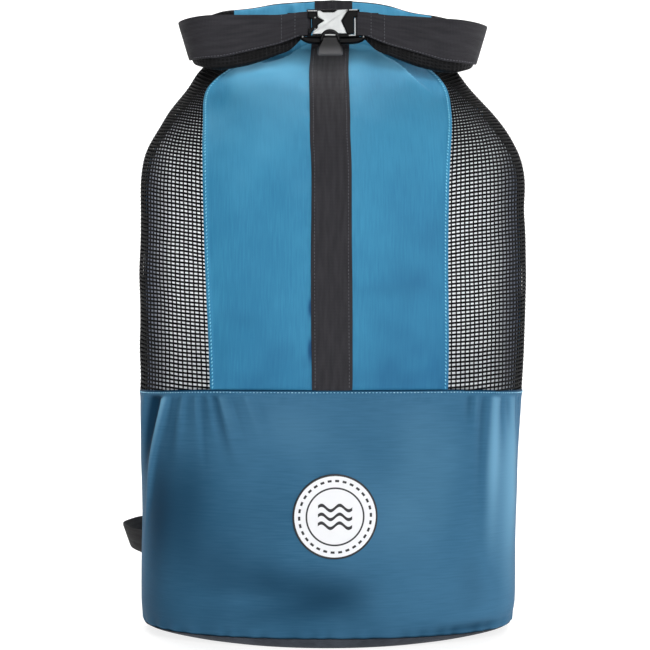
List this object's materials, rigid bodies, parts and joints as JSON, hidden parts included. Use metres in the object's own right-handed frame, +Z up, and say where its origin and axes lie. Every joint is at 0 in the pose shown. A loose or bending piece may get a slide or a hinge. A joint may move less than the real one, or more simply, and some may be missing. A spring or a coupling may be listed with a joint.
{
  "type": "roll-top mesh backpack",
  "caption": "Roll-top backpack with see-through mesh sides, a coated lower body on an oval base, a cloth front with wide webbing, and a clipped rolled mouth.",
  "frame": {"origin": "middle of the base, on the surface that the bag stands on", "axes": "+Z up, -Y towards the front with the clip, +X to the right seen from the front"},
  "size_m": [0.4234, 0.2491, 0.6553],
  "materials": {
    "base_cloth": "coarse dark woven cloth",
    "coated_cloth": "satin coated cloth",
    "panel_cloth": "fine woven cloth",
    "black_mesh": "coated net, satin",
    "grey_webbing": "woven webbing",
    "black_webbing": "woven webbing",
    "strap_padding": "padded cloth",
    "black_plastic": "glossy moulded",
    "black_rubber": "moulded, satin",
    "pale_metal": "satin",
    "pale_patch": "moulded, matt"
  },
  "bodies": {
    "root": {"base_panel": "base_cloth", "lower_body": "coated_cloth", "front_panel": "panel_cloth", "back_panel": "coated_cloth", "mesh_left": "black_mesh", "mesh_right": "black_mesh", "centre_strap": "grey_webbing", "roll_centre": "panel_cloth", "roll_left": "black_mesh", "roll_right": "black_mesh", "closure_band": "grey_webbing", "buckle_left": "black_plastic", "buckle_right": "black_plastic", "buckle_plate": "pale_metal", "pull_bar": "black_plastic", "pull_tab": "black_rubber", "round_patch": "pale_patch", "shoulder_strap_left": "strap_padding", "shoulder_strap_right": "strap_padding", "strap_webbing_left": "black_webbing", "strap_webbing_right": "black_webbing"}
  },
  "joints": []
}
